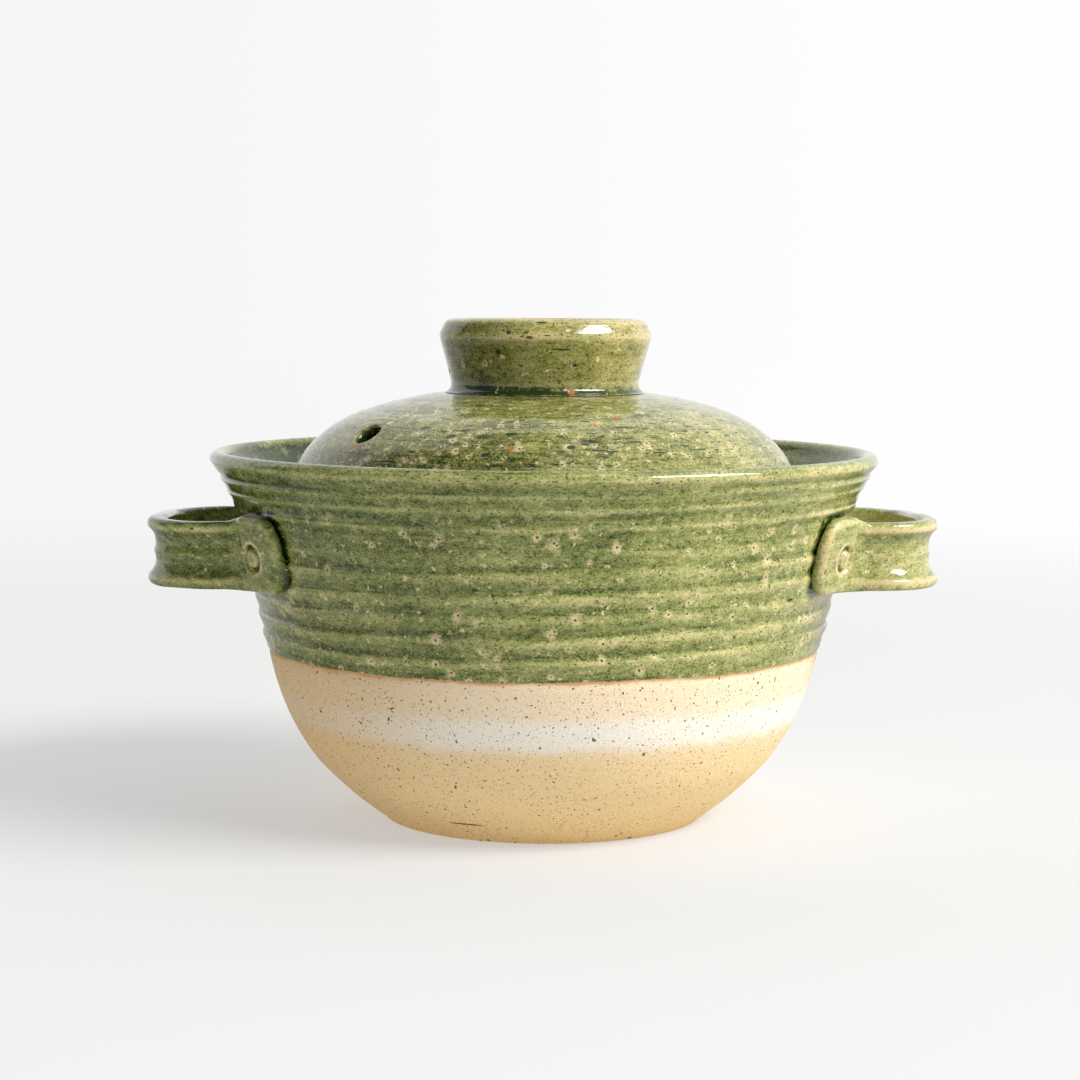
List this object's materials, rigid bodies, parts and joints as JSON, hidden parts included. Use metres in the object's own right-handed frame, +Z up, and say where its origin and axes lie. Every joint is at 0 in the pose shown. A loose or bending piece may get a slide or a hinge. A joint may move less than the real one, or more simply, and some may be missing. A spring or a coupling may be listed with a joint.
{
  "type": "clay cooking pot",
  "caption": "Round stoneware cooking pot with flared rim, throwing ridges, two strap handles, and a domed lid with a ring knob and steam hole; green glaze over a bare clay bowl.",
  "frame": {"origin": "centre of the foot on the surface that the pot stands on", "axes": "+Z up along the axis of the pot and its lid, +X through the right handle, -Y the front, with the steam hole front left"},
  "size_m": [0.244, 0.2092, 0.1561],
  "materials": {
    "pot_body": "glossy speckled green glaze above the line, bare sandy clay below it",
    "handles": "glossy speckled green glaze, thin and tan on the edges",
    "lid": "glossy pitted green glaze, bare clay on the seat"
  },
  "bodies": {
    "pot": {"pot_body": "pot_body", "handle_left": "handles", "handle_right": "handles"},
    "lid": {"lid_dome": "lid", "lid_knob": "lid"}
  },
  "joints": [
    {"name": "lid_lift", "type": "slide", "parent": "pot", "child": "lid", "axis": [0, 0, 1], "range_m": [0, 0.08]}
  ]
}
